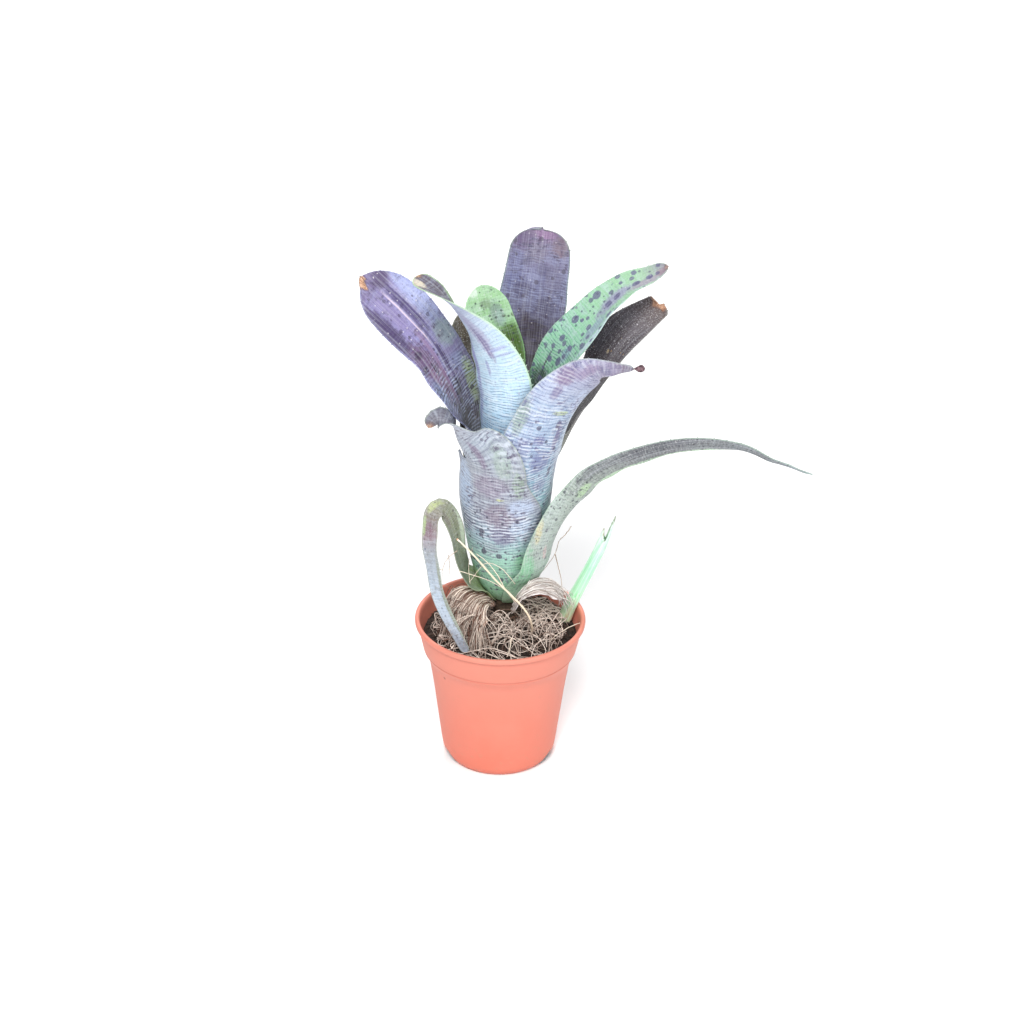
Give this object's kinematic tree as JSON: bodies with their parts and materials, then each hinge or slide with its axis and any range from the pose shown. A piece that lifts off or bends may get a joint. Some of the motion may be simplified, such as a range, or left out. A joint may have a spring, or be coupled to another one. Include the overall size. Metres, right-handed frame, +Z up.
{
  "type": "neoregelia bromeliad in a nursery pot",
  "caption": "Potted bromeliad: an upright tube of overlapping spine-edged strap leaves on a short stem, with a young offset, dry husks and soil in a tapered plastic pot.",
  "frame": {"origin": "centre of the pot's flat base", "axes": "+Z up along the pot axis, -Y towards the front view, +X towards the long arching strap leaf"},
  "size_m": [0.305, 0.12, 0.3795],
  "materials": {
    "pot_plastic": "semi-matte terracotta-coloured thin plastic",
    "soil": "loose dark brown bark and peat, with fine dry roots",
    "stem": "rough dry stem with leaf scars",
    "strap_leaf": "grey-green narrow leaf with dark dots, soft sheen",
    "mauve_leaf": "silver and mauve mottled leaf with pale cross bands, green at the foot",
    "lavender_leaf": "lavender-silver leaf with fine cross bands",
    "dark_leaf": "brown-black leaf with rows of white dots",
    "silver_leaf": "silvery blue leaf with fine cross lines, green margin",
    "purple_leaf": "glossy purple leaf with a pale midrib crease",
    "violet_leaf": "mottled purple-grey leaf with silver cross bands",
    "green_leaf": "green leaf with purple spots",
    "dry_husk": "papery dry leaf base, fibrous",
    "dry_root": "dry straw-coloured root",
    "pup_leaf": "pale mint-green offset leaf, torn brown top"
  },
  "bodies": {
    "root": {"pot": "pot_plastic", "soil": "soil", "stem": "stem", "leaf_strap_right": "strap_leaf", "leaf_strap_left": "strap_leaf", "leaf_front": "mauve_leaf", "leaf_front_right": "lavender_leaf", "leaf_right_dark": "dark_leaf", "leaf_back_left_dark": "dark_leaf", "leaf_front_left": "silver_leaf", "leaf_left": "purple_leaf", "leaf_back": "violet_leaf", "leaf_right": "green_leaf", "leaf_inner_small": "green_leaf", "husk_left": "dry_husk", "husk_right": "dry_husk", "straw": "dry_root", "pup": "pup_leaf"}
  },
  "joints": []
}
